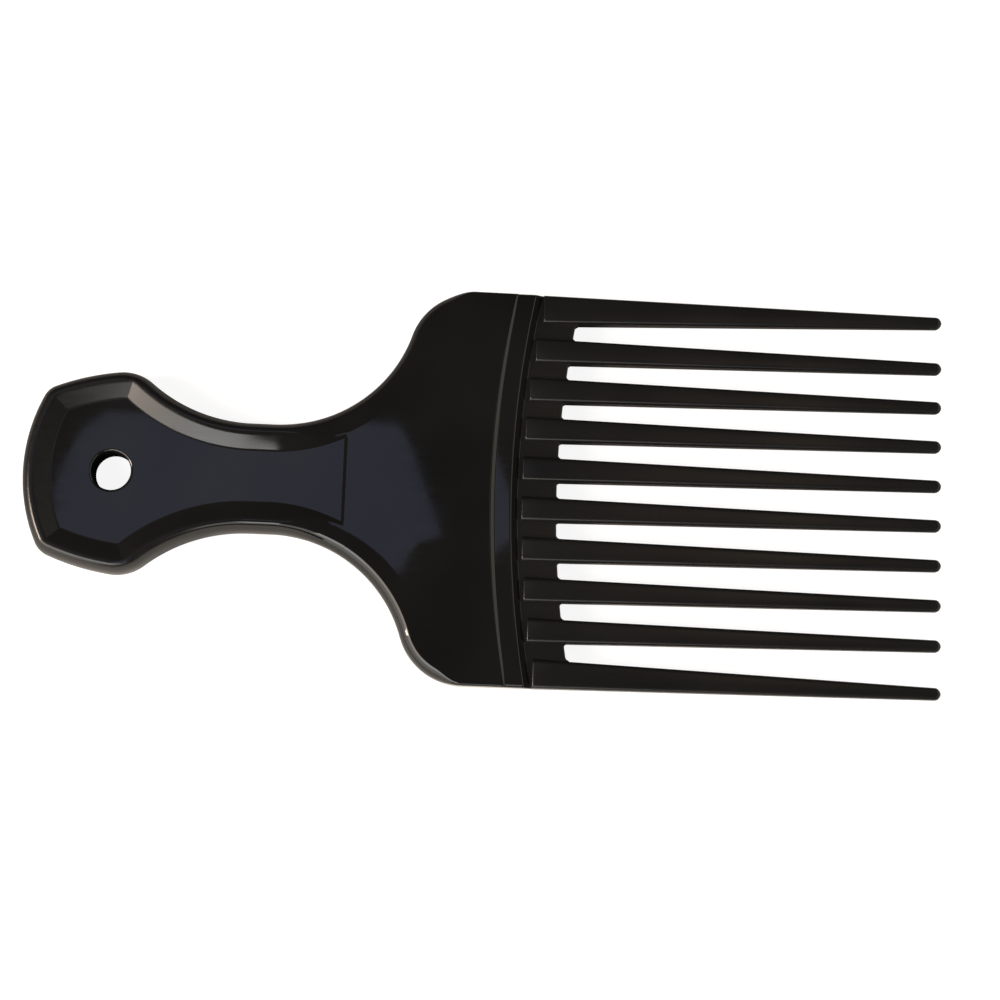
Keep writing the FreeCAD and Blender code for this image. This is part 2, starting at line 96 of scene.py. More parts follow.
# %% Places and lengths from the frame
MM = 0.001
MIDDLE_HEIGHT = (cad_low.z + cad_high.z) / 2


def place(along, across, height):
    """A point of the frame, from millimetres along the pick, across it and above its mid-plane."""
    return Vector((cad_low.x + along * MM, across * MM, MIDDLE_HEIGHT + height * MM))


def node_span(node):
    """A node's lowest and highest corner, in millimetres along, across and above the mid-plane."""
    origin = place(0, 0, 0)
    return [(corner - origin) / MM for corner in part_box(node)]


RIM_HEIGHT = node_span("handle")[1].z
CREASE_AT = node_span("handle")[1].x
PLATE_HEIGHT = node_span("head_plate")[1].z
HEAD_EDGE = node_span("head_plate")[1].y
BAND_HEIGHT = node_span("tooth_bar")[1].z
TIP_AT = node_span("tooth_05")[1].x
print(f"rim {RIM_HEIGHT:.2f}, plate {PLATE_HEIGHT:.2f}, band {BAND_HEIGHT:.2f} mm above the mid-plane")
print(f"crease at {CREASE_AT:.2f}, tips at {TIP_AT:.2f}, head edge at {HEAD_EDGE:.2f} mm")

# %% [markdown]
# ## The plastic
# Polystyrene straight from a polished mould is black all through and nearly a mirror. It isn't perfect:
# the skin shrinks into long shallow waves, use leaves fine rubbed lines, and the shine varies a little. A
# plain Principled shader with noise for those three is enough. The patterns read Object coordinates, so
# they keep their size in millimetres on every piece. The teeth and the web between them come from a
# duller part of the mould, the bore is dull and dark, and the rim is dull where a hand holds it, less and
# less towards the neck.

# %% The plastic's nodes
BLACK = (0.0042, 0.0042, 0.0046, 1)
WORN_BLACK = (0.0075, 0.0072, 0.0068, 1)
PLASTIC_IOR = 1.5
WAVE_SCALE, WAVE_DETAIL = 55.0, 1.0
RUB_SCALE, RUB_DETAIL = 900.0, 4.0
RUB_STRETCH = (0.05, 1.0, 1.0)
GRAIN_SCALE, GRAIN_DETAIL = 2600.0, 2.0
PATTERN_MIDDLE = (0.3, 0.7)
HELD_TO, UNHELD_FROM = 27.0, 44.0
RANGE_SOCKETS = ("From Min", "From Max", "To Min", "To Max")


def new_material(name):
    """A new material, and the node tree that it starts with."""
    material = bpy.data.materials.new(name)
    material.use_nodes = True
    return material, material.node_tree


def add_noise(tree, vector, scale, detail):
    """A noise pattern on a vector, in features per metre."""
    noise = tree.nodes.new("ShaderNodeTexNoise")
    noise.inputs["Scale"].default_value = scale
    noise.inputs["Detail"].default_value = detail
    tree.links.new(vector, noise.inputs["Vector"])
    return noise.outputs["Fac"]


def add_range(tree, value, given, wanted):
    """Turn values between two given numbers into values between two wanted ones."""
    spread = tree.nodes.new("ShaderNodeMapRange")
    for name, number in zip(RANGE_SOCKETS, (*given, *wanted)):
        spread.inputs[name].default_value = number
    tree.links.new(value, spread.inputs["Value"])
    return spread.outputs["Result"]


def add_axis(tree, vector, axis):
    """One of a vector's three numbers."""
    split = tree.nodes.new("ShaderNodeSeparateXYZ")
    tree.links.new(vector, split.inputs[0])
    return split.outputs[axis]


def add_mix(tree, share, first, second):
    """A colour between two others."""
    mix = tree.nodes.new("ShaderNodeMix")
    mix.data_type = "RGBA"
    mix.inputs["A"].default_value = first
    mix.inputs["B"].default_value = second
    tree.links.new(share, mix.inputs["Factor"])
    return mix.outputs["Result"]


print("a range turns", RANGE_SOCKETS[:2], "into", RANGE_SOCKETS[2:])

# %% Wear, bumps and the four plastics
def add_wear(tree, where, roughness, wear):
    """Add roughness where a hand holds the handle, less and less towards the neck."""
    held_span = [place(along, 0, 0).x for along in (HELD_TO, UNHELD_FROM)]
    held = add_range(tree, add_axis(tree, where, "X"), held_span, (wear, 0.0))
    total = tree.nodes.new("ShaderNodeMath")
    tree.links.new(roughness, total.inputs[0])
    tree.links.new(held, total.inputs[1])
    return total.outputs[0]


def add_bump(tree, height, depth):
    """A bump of a pattern's height, to a depth in millimetres."""
    bump = tree.nodes.new("ShaderNodeBump")
    bump.inputs["Distance"].default_value = depth * MM
    tree.links.new(height, bump.inputs["Height"])
    return bump


def black_plastic(name, shine, wave_depth, grain_depth, reflection=0.5, wear=0.0):
    """A black plastic whose roughness runs between two values, with bumps in millimetres."""
    material, tree = new_material(name)
    shader = tree.nodes["Principled BSDF"]
    shader.inputs["IOR"].default_value = PLASTIC_IOR
    shader.inputs["Specular IOR Level"].default_value = reflection
    where = tree.nodes.new("ShaderNodeTexCoord").outputs["Object"]
    rub_map = tree.nodes.new("ShaderNodeMapping")
    rub_map.inputs["Scale"].default_value = RUB_STRETCH
    tree.links.new(where, rub_map.inputs["Vector"])

    wave = add_noise(tree, where, WAVE_SCALE, WAVE_DETAIL)
    rub = add_noise(tree, rub_map.outputs["Vector"], RUB_SCALE, RUB_DETAIL)
    grain = add_noise(tree, where, GRAIN_SCALE, GRAIN_DETAIL)
    roughness = add_range(tree, rub, PATTERN_MIDDLE, shine)
    tree.links.new(add_wear(tree, where, roughness, wear), shader.inputs["Roughness"])
    worn_share = add_range(tree, wave, PATTERN_MIDDLE, (0.0, 1.0))
    tree.links.new(add_mix(tree, worn_share, BLACK, WORN_BLACK), shader.inputs["Base Color"])

    waves = add_bump(tree, wave, wave_depth)
    grains = add_bump(tree, grain, grain_depth)
    tree.links.new(waves.outputs["Normal"], grains.inputs["Normal"])
    tree.links.new(grains.outputs["Normal"], shader.inputs["Normal"])
    return material


polished = {"wave_depth": 0.015, "grain_depth": 0.0003}
dull = {"wave_depth": 0.02, "grain_depth": 0.001}
rough = {"wave_depth": 0.02, "grain_depth": 0.002}
grip_plastic = black_plastic("grip_plastic", shine=(0.03, 0.06), **polished)
rim_plastic = black_plastic("rim_plastic", shine=(0.03, 0.07), wear=0.2, **polished)
tooth_plastic = black_plastic("tooth_plastic", shine=(0.23, 0.27), **dull)
bore_plastic = black_plastic("bore_plastic", shine=(0.5, 0.65), reflection=0.0, **rough)
print("materials:", grip_plastic.name, rim_plastic.name, tooth_plastic.name, bore_plastic.name)

# %% [markdown]
# ## From points to a piece
# A glossy surface shows every kink of its mesh, so the shapes are built as rows of points that follow the
# object's own lines, with quads between the rows. Each finished piece gets the same treatment: doubles
# merged, open ends closed, normals turned outwards, real edges kept sharp and all else smooth. Then it
# takes the place of its solid in the frame.

# %% Making and seating a piece
MERGE_DISTANCE = 0.002 * MM
SHARP_ANGLE = math.radians(13)


def add_row(mesh, points):
    """One row of vertices."""
    return [mesh.verts.new(point) for point in points]


def skin(mesh, rows, closed=False):
    """Quads between each row and the next, round to the start where the rows are closed."""
    for first, second in zip(rows, rows[1:]):
        count = len(first) if closed else len(first) - 1
        for index in range(count):
            after = (index + 1) % len(first)
            mesh.faces.new((first[index], first[after], second[after], second[index]))


def close_piece(mesh):
    """Merge doubles, close what is open, turn the faces outwards and sort sharp edges from smooth ones."""
    bmesh.ops.remove_doubles(mesh, verts=mesh.verts, dist=MERGE_DISTANCE)
    bmesh.ops.holes_fill(mesh, edges=[edge for edge in mesh.edges if edge.is_boundary])
    bmesh.ops.recalc_face_normals(mesh, faces=mesh.faces)
    if mesh.calc_volume(signed=True) < 0:
        bmesh.ops.reverse_faces(mesh, faces=mesh.faces)
    for face in mesh.faces:
        face.smooth = len(face.verts) <= 4
    for edge in mesh.edges:
        edge.smooth = edge.calc_face_angle(0) < SHARP_ANGLE


def seat_piece(name, data, *materials):
    """Show a mesh in place of the solid of the same name, with materials for its faces to choose from."""
    for material in materials:
        data.materials.append(material)
    node = frame["nodes"][name]
    piece = bpy.data.objects.new(f"{name}_skin", data)
    scene.collection.objects.link(piece)
    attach(piece, node["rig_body"])
    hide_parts(name)
    print(f"{piece.name}: {len(data.polygons)} faces")


def seat_mesh(name, mesh, *materials):
    """Keep the points and faces as mesh data, and seat it."""
    data = bpy.data.meshes.new(f"{name}_skin")
    mesh.to_mesh(data)
    mesh.free()
    seat_piece(name, data, *materials)


# %% [markdown]
# ## The handle's outline
# The handle is drawn with a compass: a bowed end, two flanks and a waist, each an arc. Every line on the
# handle, from its outer wall to the foot of its sunk panel, is that outline moved inwards. An arc moved
# inwards is still an arc about the same centre, so the lines stay exact. The outer corners are round, but
# the mould maker left the panel's corners as sharp mitres, and the same code draws both.

# %% Arcs of the handle
END_BOW_RADIUS = 32.0
END_CORNER_RADIUS = 4.0
FLANK_RADIUS = 45.0
FLANK_CROWN_AT = 22.3
FLANK_CROWN = 19.05
HIP_RADIUS = 8.0
NECK_AT = 43.5
NECK_STRAIGHT_LENGTH = 4.0
NECK_EDGE = 10.15
NECK_REAR_RADIUS = 29.5
NECK_FRONT_RADIUS = 25.8
REAR_AT = NECK_AT - NECK_STRAIGHT_LENGTH / 2
FRONT_AT = NECK_AT + NECK_STRAIGHT_LENGTH / 2

Arc = namedtuple("Arc", "centre radius bulge")
OUT, IN = 1, -1
bow = Arc(Vector((END_BOW_RADIUS, 0)), END_BOW_RADIUS, OUT)
flank = Arc(Vector((FLANK_CROWN_AT, FLANK_CROWN - FLANK_RADIUS)), FLANK_RADIUS, OUT)
rear = Arc(Vector((REAR_AT, NECK_EDGE + NECK_REAR_RADIUS)), NECK_REAR_RADIUS, IN)
front = Arc(Vector((FRONT_AT, NECK_EDGE + NECK_FRONT_RADIUS)), NECK_FRONT_RADIUS, IN)


def inset_radius(arc, inset):
    """An arc's radius after the outline is moved inwards."""
    return arc.radius - arc.bulge * inset


def meet(first, second, inset):
    """Where two moved arcs cross, on the side of the handle's end."""
    apart = second.centre - first.centre
    near, far = inset_radius(first, inset), inset_radius(second, inset)
    reach = (apart.length_squared + near**2 - far**2) / (2 * apart.length)
    rise = math.sqrt(near**2 - reach**2)
    foot = first.centre + apart.normalized() * reach
    sideways = Vector((-apart.y, apart.x)).normalized() * rise
    return min(foot + sideways, foot - sideways, key=lambda point: point.x)


def walk(centre, start, end, steps):
    """Points along the shorter arc from start towards end, without the end itself."""
    first = math.atan2(start.y - centre.y, start.x - centre.x)
    last = math.atan2(end.y - centre.y, end.x - centre.x)
    turn = math.remainder(last - first, math.tau)
    radius = (start - centre).length
    angles = [first + turn * step / steps for step in range(steps)]
    return [centre + radius * Vector((math.cos(angle), math.sin(angle))) for angle in angles]


print("the bowed end meets a flank at", [round(side, 2) for side in meet(bow, flank, 0)])

# %% Half of an outline, moved inwards
BOW_STEPS, CORNER_STEPS, FLANK_STEPS, HIP_STEPS, REAR_STEPS, STRAIGHT_STEPS = 20, 12, 14, 14, 26, 4


def corner(first, second, inset, rounding, steps):
    """The two ends of a corner and the points between; a sharp corner is one point, repeated."""
    if rounding == 0:
        point = meet(first, second, inset)
        return point, point, [point] * steps
    centre = meet(first, second, rounding)
    ends = []
    for arc in (first, second):
        outwards = (centre - arc.centre).normalized()
        ends.append(arc.centre + outwards * inset_radius(arc, inset))
    return ends[0], ends[1], walk(centre, *ends, steps)


def half_outline(inset, is_round):
    """From the middle of the handle's end, round one side, to where the neck starts to widen."""
    end_rounding, hip_rounding = (END_CORNER_RADIUS, HIP_RADIUS) if is_round else (0, 0)
    end_from, end_to, end_points = corner(bow, flank, inset, end_rounding, CORNER_STEPS)
    hip_from, hip_to, hip_points = corner(flank, rear, inset, hip_rounding, HIP_STEPS)
    neck = Vector((REAR_AT, NECK_EDGE - inset))
    run = Vector((NECK_STRAIGHT_LENGTH / STRAIGHT_STEPS, 0))
    points = walk(bow.centre, Vector((inset, 0)), end_from, BOW_STEPS) + end_points
    points += walk(flank.centre, end_to, hip_from, FLANK_STEPS) + hip_points
    points += walk(rear.centre, hip_to, neck, REAR_STEPS)
    return points + [neck + run * step for step in range(STRAIGHT_STEPS)]


print("points on half an outline:", len(half_outline(0, True)))

# %% [markdown]
# ## The handle's section
# Seen in section, the handle's rim is round from its outer wall to its brim, and then a sloping wall
# falls to the panel. Towards the head the rim sinks to the plate's level and the wall runs out, and the
# panel rises to the plate, slowly at first and then in a short ramp, the crease. A list of (inset,
# height) pairs says all this for one place along the neck. Soft bends at the wall's top and foot come
# from three-point curves, which is what a polished mould leaves.

# %% Heights along the handle
QUARTER_TURN = math.pi / 2
ROUND_STEPS = 16
ROLL_STEPS = 5
RIM_ROUND, PLATE_ROUND = (1.85, 4.1), (2.4, 2.8)
PLATE_ROLL_DROP = 0.12
RIM_WIDTH = 2.3
WALL_WIDTH = 3.0
CREASE_DROP = 0.25
PANEL_HEIGHT = PLATE_HEIGHT - CREASE_DROP
BRIM_EASE = 0.45
FOOT_EASE = 0.22
EASE_STEPS = 5
FADE_LENGTH = 13.2
FADE_AT = CREASE_AT - FADE_LENGTH
RISE_SHARE = 0.5
RAMP_LENGTH = 1.15
RAMP_STEPS = 8
FRONT_STEPS = 26
LEVEL_STEPS = 2
NECK_RUN = CREASE_AT - RAMP_LENGTH - FRONT_AT
FRONT_STATIONS = [FRONT_AT + NECK_RUN * step / FRONT_STEPS for step in range(FRONT_STEPS)]
FRONT_STATIONS += [CREASE_AT - RAMP_LENGTH * (1 - step / RAMP_STEPS) for step in range(RAMP_STEPS + 1)]


def fade(along):
    """How far the rim has sunk to the plate: nothing at first, then an even sweep to 1 at the crease."""
    share = min(max((along - FADE_AT) / FADE_LENGTH, 0), 1)
    return 2 * share**2 if share < 0.5 else 1 - 2 * (1 - share) ** 2


def ease(share):
    """A share that starts and stops softly."""
    share = min(max(share, 0), 1)
    return share**2 * (3 - 2 * share)


def panel_height(along):
    """The panel's height: a slow rise towards the head, then a short soft ramp at the crease."""
    rise_at = FRONT_STATIONS[LEVEL_STEPS]
    slow = ease((along - rise_at) / (CREASE_AT - rise_at))
    quick = ease((along - CREASE_AT + RAMP_LENGTH) / RAMP_LENGTH)
    return PANEL_HEIGHT + (PLATE_HEIGHT - PANEL_HEIGHT) * (RISE_SHARE * slow + (1 - RISE_SHARE) * quick)


print("the panel rises over", round(CREASE_AT - FRONT_STATIONS[LEVEL_STEPS], 1), "mm up to the crease")

# %% Section of the handle
def bend(corner_point, before, after):
    """A soft bend at a corner, as a three-point curve between a point before it and one after it."""
    shares = [step / EASE_STEPS for step in range(EASE_STEPS + 1)]
    return [before * (1 - s) ** 2 + corner_point * 2 * s * (1 - s) + after * s**2 for s in shares]


def round_edge(top, width, rise):
    """The outer wall up from the mid-plane and its round edge, as (inset, height) pairs."""
    angles = [QUARTER_TURN * step / ROUND_STEPS for step in range(ROUND_STEPS + 1)]
    turned = [Vector((width * (1 - math.cos(a)), top - rise * (1 - math.sin(a)))) for a in angles]
    return [Vector((0, 0))] + turned


def between(first, second, share):
    """Two pairs of lengths, mixed by a share."""
    return [a + (b - a) * share for a, b in zip(first, second)]


def rolled_edge(top, edge, drop, flat_from):
    """The outer wall, its round edge, and a shallow roll-off up to where the surface is flat."""
    width, rise = edge
    points = round_edge(top - drop, width, rise)
    for step in range(1, ROLL_STEPS + 1):
        left = 1 - step / ROLL_STEPS
        points.append(Vector((flat_from - (flat_from - width) * left, top - drop * left**2)))
    return points


def handle_section(along):
    """The handle's section at a place along it."""
    top = RIM_HEIGHT - (RIM_HEIGHT - PLATE_HEIGHT) * fade(along)
    slope = WALL_WIDTH / (RIM_HEIGHT - PANEL_HEIGHT)
    brim = Vector((RIM_WIDTH + slope * (RIM_HEIGHT - top), top))
    foot = Vector((RIM_WIDTH + WALL_WIDTH, panel_height(along)))
    down = (foot - brim).normalized()
    left_share = (foot - brim).length / math.hypot(WALL_WIDTH, RIM_HEIGHT - PANEL_HEIGHT)
    level = Vector((1, 0))
    brim_ease, foot_ease = BRIM_EASE * left_share, FOOT_EASE * left_share
    edge = between(RIM_ROUND, PLATE_ROUND, fade(along))
    outside = rolled_edge(top, edge, PLATE_ROLL_DROP * fade(along), brim.x - brim_ease)
    bends = bend(brim, brim - level * brim_ease, brim + down * brim_ease)
    return outside + bends[1:] + bend(foot, foot - down * foot_ease, foot + level * foot_ease)


print("points in a section:", len(handle_section(0)))

# %% [markdown]
# ## The handle itself
# Each pair of the section, walked round the outline, makes one row of points. The rows run from the panel
# on the back, out over the rim and the outer wall, to the panel in front. The panel is left flat up to
# the neck, because a face that is truly flat mirrors best, and quads from foot to foot follow its rise to
# the crease. The hanging hole is cut into the flat part with its own round mouth.

# %% Rows of the handle
def neck_across(along, inset):
    """How far from the axis the neck's front arc lies, moved inwards."""
    return front.centre.y - math.sqrt(inset_radius(front, inset) ** 2 - (along - front.centre.x) ** 2)


def handle_row(number, face):
    """One row round the whole handle, on the front (1) or the back (-1)."""
    inset, height = handle_section(0)[number]
    is_round = number <= ROUND_STEPS + ROLL_STEPS
    half = [(point.x, point.y, height) for point in half_outline(inset, is_round)]
    for along in FRONT_STATIONS:
        inset, height = handle_section(along)[number]
        half.append((along, neck_across(along, inset), height))
    other_half = [(along, -across, height) for along, across, height in half[:0:-1]]
    return [place(along, across, face * height) for along, across, height in other_half + half]


section_count = len(handle_section(0))
handle_mesh = bmesh.new()
back_rows = [add_row(handle_mesh, handle_row(number, -1)) for number in range(section_count - 1, 0, -1)]
front_rows = [add_row(handle_mesh, handle_row(number, 1)) for number in range(section_count)]
skin(handle_mesh, back_rows + front_rows)
print("rows round the handle:", len(back_rows + front_rows), "of", len(front_rows[0]), "points")

# %% Hanging hole and panels
HOLE_AT = 16.3
HOLE_RADIUS = 3.55
HOLE_EDGE_RADIUS = 0.5
HOLE_STEPS = 72
MOUTH_STEPS = 8
LEVEL_SLACK = 0.0005 * MM


def hole_row(radius, height):
    """A ring about the hole's axis."""
    angles = [math.tau * step / HOLE_STEPS for step in range(HOLE_STEPS)]
    return [place(HOLE_AT + radius * math.cos(a), radius * math.sin(a), height) for a in angles]


def mouth(face):
    """The hole's rings from the panel in to its straight wall, on the front (1) or the back (-1)."""
    rows = []
    for step in range(MOUTH_STEPS + 1):
        angle = QUARTER_TURN * step / MOUTH_STEPS
        radius = HOLE_RADIUS + HOLE_EDGE_RADIUS * (1 - math.sin(angle))
        height = PANEL_HEIGHT - HOLE_EDGE_RADIUS * (1 - math.cos(angle))
        rows.append(add_row(handle_mesh, hole_row(radius, face * height)))
    return rows


def at_panel(edge, face):
    """Whether an open edge lies in the panel's plane, on the front (1) or the back (-1)."""
    level = MIDDLE_HEIGHT + face * PANEL_HEIGHT * MM
    return edge.is_boundary and all(abs(vertex.co.z - level) < LEVEL_SLACK for vertex in edge.verts)


skin(handle_mesh, mouth(1) + mouth(-1)[::-1], closed=True)
rising = len(FRONT_STATIONS) - LEVEL_STEPS
for foot_row in (front_rows[-1], back_rows[0]):
    skin(handle_mesh, [foot_row[:rising], foot_row[::-1][:rising]])
bmesh.ops.remove_doubles(handle_mesh, verts=handle_mesh.verts, dist=MERGE_DISTANCE)
for face in (1, -1):
    rims = [edge for edge in handle_mesh.edges if at_panel(edge, face)]
    panel = bmesh.ops.triangle_fill(handle_mesh, use_beauty=True, edges=rims)
    print("panel parts:", len(panel["geom"]), "within", len(rims), "edges")

# %% Finish the handle
LEVEL_NORMAL = 0.9999
GRIP, BORE, RIM = range(3)

close_piece(handle_mesh)
hole_axis = place(HOLE_AT, 0, 0).xy
for face in handle_mesh.faces:
    is_level = abs(face.normal.z) > LEVEL_NORMAL
    face.smooth = face.smooth and not (is_level and len(face.verts) == 3)
    from_axis = (face.calc_center_median().xy - hole_axis).length / MM
    is_rim = not is_level and from_axis > HOLE_RADIUS + HOLE_EDGE_RADIUS
    inside = BORE if from_axis < HOLE_RADIUS else GRIP
    face.material_index = RIM if is_rim else inside
seat_mesh("handle", handle_mesh, grip_plastic, bore_plastic, rim_plastic)

# %% [markdown]
# ## The head plate
# From the crease the plate flares to its full width over two arcs, and thins a little towards the teeth.
# Its sides have the handle's round edge, so the same section serves, and the round gets tighter past the
# shoulders. Where the plate stops, along a wide arc, a small lip falls to the tooth bar, and the round
# edges run on beside it. The lip is only a third of a millimetre high, but it draws a bright line in the
# photo, so it is modelled.

# %% Outline of the head plate
ARC_RADIUS = 200.0
HEAD_LENGTH = 27.2
END_HEIGHT = 2.7
SHOULDER_RADIUS = 12.1
LIP_WIDTH, LIP_DROP = 1.0, 0.32
LIP_NARROW_SHARE = 0.35
ROLL_WIDTH = 4.6
HEAD_ROUND = (0.6, 0.6)
TIGHTEN_LENGTH = 5.5
ROLL_FROM = ROUND_STEPS + 1
BAND_AT = CREASE_AT + HEAD_LENGTH
ARC_CENTRE_AT = BAND_AT + ARC_RADIUS
PLATE_FALL_SHARE = (PLATE_HEIGHT - END_HEIGHT) / HEAD_LENGTH
FLARE_STEPS, SHOULDER_STEPS, EDGE_STEPS, LIP_STEPS, ARC_STEPS = 34, 30, 8, 10, 160
LIP_SHARES = [step / LIP_STEPS for step in range(LIP_STEPS + 1)]

shoulder_across = HEAD_EDGE - SHOULDER_RADIUS
reach = NECK_FRONT_RADIUS + SHOULDER_RADIUS
shoulder_along = front.centre.x + math.sqrt(reach**2 - (front.centre.y - shoulder_across) ** 2)
shoulder = Arc(Vector((shoulder_along, shoulder_across)), SHOULDER_RADIUS, OUT)


def past_shoulder(along):
    """How far the edge has tightened: nothing at the neck, 1 where the head's straight sides start."""
    return ease((along - shoulder.centre.x) / TIGHTEN_LENGTH + 1)


def plate_section(along):
    """The plate's section at a place along it; the plate thins evenly towards the teeth."""
    top = PLATE_HEIGHT - PLATE_FALL_SHARE * (along - CREASE_AT)
    edge = between(PLATE_ROUND, HEAD_ROUND, past_shoulder(along))
    return rolled_edge(top, edge, PLATE_ROLL_DROP, ROLL_WIDTH)


def plate_top(along, across):
    """The plate's height at a place, with the roll-off along its sides."""
    section = plate_section(along)[ROLL_FROM:]
    inset = HEAD_EDGE - abs(across)
    for before, after in zip(section, section[1:]):
        if inset <= after.x:
            return before.lerp(after, (inset - before.x) / (after.x - before.x)).y
    return section[-1].y


def arc_at(across, forward=0):
    """Where an arc about the tooth row's centre lies, a distance forward of the plate's end."""
    return ARC_CENTRE_AT - math.sqrt((ARC_RADIUS - forward) ** 2 - across**2)


def lip_width(across):
    """The lip's width along the pick, less towards the ends of the arc."""
    return LIP_WIDTH * (1 - LIP_NARROW_SHARE * (across / HEAD_EDGE) ** 2)


def plate_side(inset):
    """One side of the plate from the crease to its end, moved inwards."""
    start = Vector((CREASE_AT, neck_across(CREASE_AT, inset)))
    outwards = (shoulder.centre - front.centre).normalized()
    touch = front.centre + outwards * inset_radius(front, inset)
    edge = Vector((shoulder.centre.x, HEAD_EDGE - inset))
    end = Vector((arc_at(edge.y, -lip_width(edge.y)), edge.y))
    points = walk(front.centre, start, touch, FLARE_STEPS)
    points += walk(shoulder.centre, touch, edge, SHOULDER_STEPS)
    return points + [edge.lerp(end, step / EDGE_STEPS) for step in range(EDGE_STEPS + 1)]


print("shoulder centre:", [round(side, 2) for side in shoulder.centre])

# %% Rows along the plate's sides
plate_mesh = bmesh.new()


def round_the_edge(count):
    """A face (-1 back, 1 front) and a number in the section, from the back round the edge to the front."""
    back = [(-1, number) for number in reversed(range(count))]
    return back + [(1, number) for number in range(1, count)]


def plate_rows(side):
    """The rows along one side (1 or -1), from the back face round the edge to the front face."""
    rows = []
    for face, number in round_the_edge(len(plate_section(CREASE_AT))):
        row = []
        at_neck, at_head = [plate_side(plate_section(end)[number].x) for end in (CREASE_AT, BAND_AT)]
        for near, far in zip(at_neck, at_head):
            point = near.lerp(far, past_shoulder(near.x))
            row.append(place(point.x, side * point.y, face * plate_section(point.x)[number].y))
        rows.append(add_row(plate_mesh, row))
    return rows


upper_side, lower_side = plate_rows(1), plate_rows(-1)
print("rows on each side of the plate:", len(upper_side), "of", len(upper_side[0]), "points")

# %% The lip, and the head plate's end
def lip_place(across, share):
    """Where the lip lies along the pick, a share of the way down."""
    return arc_at(across, -lip_width(across) * (1 - share))


def lip_columns():
    """Places across the lip: on each row of the roll-off, and evenly between."""
    sides = [HEAD_EDGE - point.x for point in plate_section(BAND_AT)[ROLL_FROM:]]
    inner = [sides[-1] * (1 - 2 * step / ARC_STEPS) for step in range(1, ARC_STEPS)]
    return sides + inner + [-across for across in reversed(sides)]


def lip_rows(face):
    """The lip, a soft fall from the plate's face to its end, on the front (1) or the back (-1)."""
    rows = []
    for share in LIP_SHARES:
        row = []
        for across in lip_columns():
            along = lip_place(across, share)
            height = plate_top(along, across) - LIP_DROP * ease(share)
            row.append(place(along, across, face * height))
        rows.append(add_row(plate_mesh, row))
    return rows


def end_rows(side):
    """The round edge of one side (1 or -1), carried on beside the lip to the plate's end."""
    rows = []
    for face, number in round_the_edge(ROLL_FROM + 1):
        row = []
        across = HEAD_EDGE - plate_section(BAND_AT)[number].x
        for share in LIP_SHARES:
            along = lip_place(across, share)
            section = plate_section(along)
            left_share = 1 - LIP_DROP * ease(share) / section[ROLL_FROM].y
            row.append(place(along, side * across, face * section[number].y * left_share))
        rows.append(add_row(plate_mesh, row))
    return rows


front_lip, back_lip = lip_rows(1), lip_rows(-1)
for rows in (upper_side, lower_side, front_lip + back_lip[::-1], end_rows(1), end_rows(-1)):
    skin(plate_mesh, rows)
flats = ((upper_side[-1], lower_side[-1], front_lip[0]), (upper_side[0], lower_side[0], back_lip[0]))
for upper, lower, lip in flats:
    plate_mesh.faces.new(upper + lip[ROLL_STEPS + 1 : -ROLL_STEPS - 1] + lower[::-1])
close_piece(plate_mesh)
seat_mesh("head_plate", plate_mesh, grip_plastic)

# %% [markdown]
# ## The tooth bar
# The bar is a curved strip: a band that is almost level, a slope, and a thin web between the roots of the
# teeth. It is one section swept along the arc. The web's front line is drawn with a small round at each
# tooth, because a mould has no sharp inner corner there. The web runs on unseen inside each tooth's root,
# as it does in the moulding. Under the lip and inside the outer teeth the bar's ends are tucked in, so
# that they don't show. The band and the slope are as polished as the plate, and the web is duller.

# %% Tooth places
TOOTH_COUNT = 10
ROOT_WIDTH = 4.52
OUTER_ROOT_WIDTH = 5.35
TIP_WIDTH = 2.3
TIP_EDGE = 36.15
BAND_WIDTH = 2.9
RIB_FROM_BAND = 2.0
slot_width = (2 * HEAD_EDGE - (TOOTH_COUNT - 2) * ROOT_WIDTH - 2 * OUTER_ROOT_WIDTH) / (TOOTH_COUNT - 1)
pitch = ROOT_WIDTH + slot_width

Tooth = namedtuple("Tooth", "name start root_middle root_width tip_middle")


def tooth(number):
    """Where a tooth starts and stands, counted from 1 across the pick."""
    middle = (number - (TOOTH_COUNT + 1) / 2) * pitch
    width, tip_middle = ROOT_WIDTH, middle
    if number in (1, TOOTH_COUNT):
        side = math.copysign(1, middle)
        middle, width = side * (HEAD_EDGE - OUTER_ROOT_WIDTH / 2), OUTER_ROOT_WIDTH
        tip_middle = side * (TIP_EDGE - TIP_WIDTH / 2)
    start = arc_at(middle, BAND_WIDTH + RIB_FROM_BAND)
    return Tooth(f"tooth_{number:02d}", start, middle, width, tip_middle)


teeth = [tooth(number) for number in range(1, TOOTH_COUNT + 1)]
print(f"slots of {slot_width:.2f} mm, a tooth every {pitch:.2f} mm")

# %% Section and front line of the bar
BAR_LENGTH = 11.4
SLOPE_LENGTH = 1.3
WEB_HEIGHT = 1.3
BAR_EDGE_RADIUS = 1.0
BAND_EASE, TOE_EASE = 0.16, 0.08
BAND_TILT_SHARE = 0.01
BAND_SHARES = (0, 0.26, 0.6, 0.97)
BAR_END_SHARE = 0.3
FRONT_EASE = 0.3
ROOT_RADIUS = 0.55
UNDER_LIP = 0.9
END_STEPS = 6
SLOT_STEPS = 14
TUCK = 0.35


